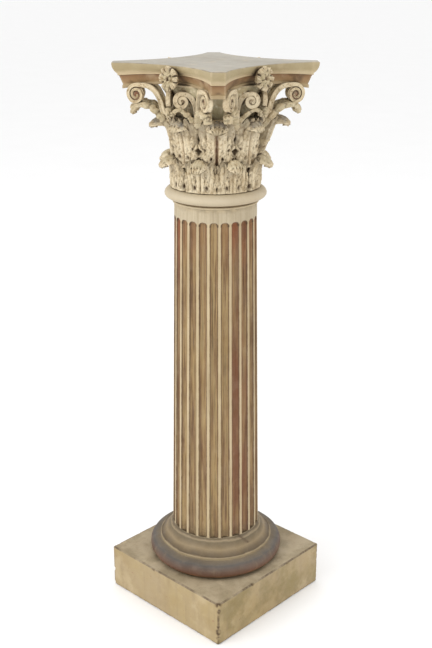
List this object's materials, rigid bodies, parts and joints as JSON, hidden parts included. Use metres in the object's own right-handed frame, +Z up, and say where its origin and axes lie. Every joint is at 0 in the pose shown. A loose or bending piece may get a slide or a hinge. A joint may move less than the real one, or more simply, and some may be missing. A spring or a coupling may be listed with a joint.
{
  "type": "corinthian pedestal column",
  "caption": "Fluted column on a square plinth with a round base, a capital carved with acanthus leaves and scrolls, and a hollow-sided top for display.",
  "frame": {"origin": "middle of the plinth's underside, on the floor", "axes": "+Z up along the shaft; the plinth's sides face X and Y, and its corners and the abacus' horns lie on the diagonals"},
  "size_m": [0.3378, 0.3378, 1.2],
  "materials": {
    "plinth_paint": "worn cream paint with dark chips on the edges",
    "base_paint": "aged paint, grey-brown on top and reddish below",
    "shaft_paint": "cream fillets and brown streaked flutes",
    "neck_paint": "worn cream paint",
    "capital_paint": "cream paint with dirt in the carving",
    "abacus_paint": "grey streaked top and cream moulded sides",
    "flower_paint": "cream paint with dirt in the carving"
  },
  "bodies": {
    "root": {"plinth": "plinth_paint", "base_moulding": "base_paint", "shaft": "shaft_paint", "neck_ring": "neck_paint", "capital": "capital_paint", "abacus": "abacus_paint", "fleuron_front": "flower_paint", "fleuron_right": "flower_paint", "fleuron_back": "flower_paint", "fleuron_left": "flower_paint"}
  },
  "joints": []
}
